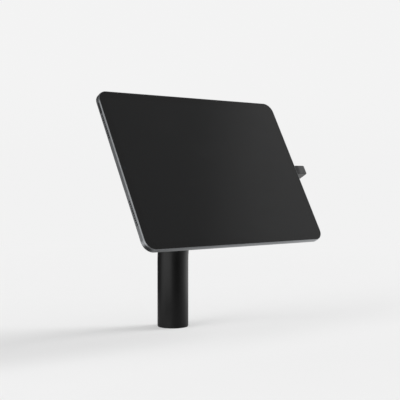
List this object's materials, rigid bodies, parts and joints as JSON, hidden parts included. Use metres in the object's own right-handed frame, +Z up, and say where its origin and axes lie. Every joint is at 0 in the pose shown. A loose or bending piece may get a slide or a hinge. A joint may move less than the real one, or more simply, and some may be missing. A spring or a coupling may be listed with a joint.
{
  "type": "tablet kiosk stand",
  "caption": "Bent round column with a turning head that holds a tablet in landscape and a locking side connector.",
  "frame": {"origin": "centre of the column's foot, on the counter", "axes": "+Z up, the screen faces -Y and up, +X along the tablet's width towards the connector pod"},
  "size_m": [0.2641, 0.1335, 0.2558],
  "materials": {
    "powder_black": "satin black powder coat",
    "gasket_rubber": "matte black",
    "zinc_steel": "turned and zinc plated",
    "screw_steel": "blackened steel",
    "spring_steel": "oiled spring steel",
    "bush_polymer": "dark grey bearing polymer",
    "anodised_black": "black anodised",
    "pad_foam": "closed-cell bonding foam",
    "cover_plastic": "fine moulded texture",
    "pod_plastic": "dark grey fine moulded texture",
    "circuit_board": "green solder mask",
    "plug_steel": "plain stamped steel",
    "tablet_metal": "dark grey fine-blasted anodised",
    "screen_glass": "polished black-backed cover glass",
    "display_panel": "black",
    "battery_foil": "black foil pouch",
    "camera_glass": "polished",
    "button_metal": "dark grey anodised, polished edge"
  },
  "bodies": {
    "column": {"column_tube": "powder_black", "foot_gasket": "gasket_rubber", "foot_anchor": "zinc_steel", "anchor_screws": "screw_steel", "head_plug": "powder_black", "spindle_bushes": "bush_polymer", "stop_pin": "screw_steel"},
    "head": {"spindle": "zinc_steel", "friction_washer": "bush_polymer", "spring_washers": "spring_steel", "spindle_nut": "zinc_steel", "mount_plate": "anodised_black", "plate_screws": "screw_steel", "tablet_pad": "pad_foam", "head_cover": "cover_plastic", "cover_screws": "screw_steel", "tablet_housing": "tablet_metal", "front_glass": "screen_glass", "display_module": "display_panel", "battery_cells": "battery_foil", "logic_board": "circuit_board", "speaker_modules": "bush_polymer", "charge_port": "plug_steel", "button_switches": "bush_polymer", "camera_ring": "tablet_metal", "camera_lens": "camera_glass", "flash_lens": "camera_glass", "rear_camera": "display_panel", "front_camera": "display_panel"},
    "arm": {"security_arm": "anodised_black", "arm_screws": "screw_steel", "pod_shell": "pod_plastic", "pod_cover": "pod_plastic", "pod_screws": "screw_steel", "dock_board": "circuit_board", "dock_plug": "plug_steel"},
    "power_button": {"power_button": "button_metal"},
    "volume_up_button": {"volume_up_button": "button_metal"},
    "volume_down_button": {"volume_down_button": "button_metal"}
  },
  "joints": [
    {"name": "head_rotation", "type": "hinge", "parent": "column", "child": "head", "pos_m": [0, -0.05594, 0.16803], "axis": [0, -0.8788, 0.4772], "range_deg": [-90, 0]},
    {"name": "arm_slide", "type": "slide", "parent": "head", "child": "arm", "axis": [1, 0, 0], "range_m": [0, 0.01]},
    {"name": "power_button", "type": "slide", "parent": "head", "child": "power_button", "axis": [1, 0, 0], "range_m": [0, 0.0003], "stiffness_N_per_m": 2000, "springref_m": -0.0003},
    {"name": "volume_up_button", "type": "slide", "parent": "head", "child": "volume_up_button", "axis": [0, -0.4772, -0.8788], "range_m": [0, 0.0003], "stiffness_N_per_m": 2000, "springref_m": -0.0003},
    {"name": "volume_down_button", "type": "slide", "parent": "head", "child": "volume_down_button", "axis": [0, -0.4772, -0.8788], "range_m": [0, 0.0003], "stiffness_N_per_m": 2000, "springref_m": -0.0003}
  ]
}
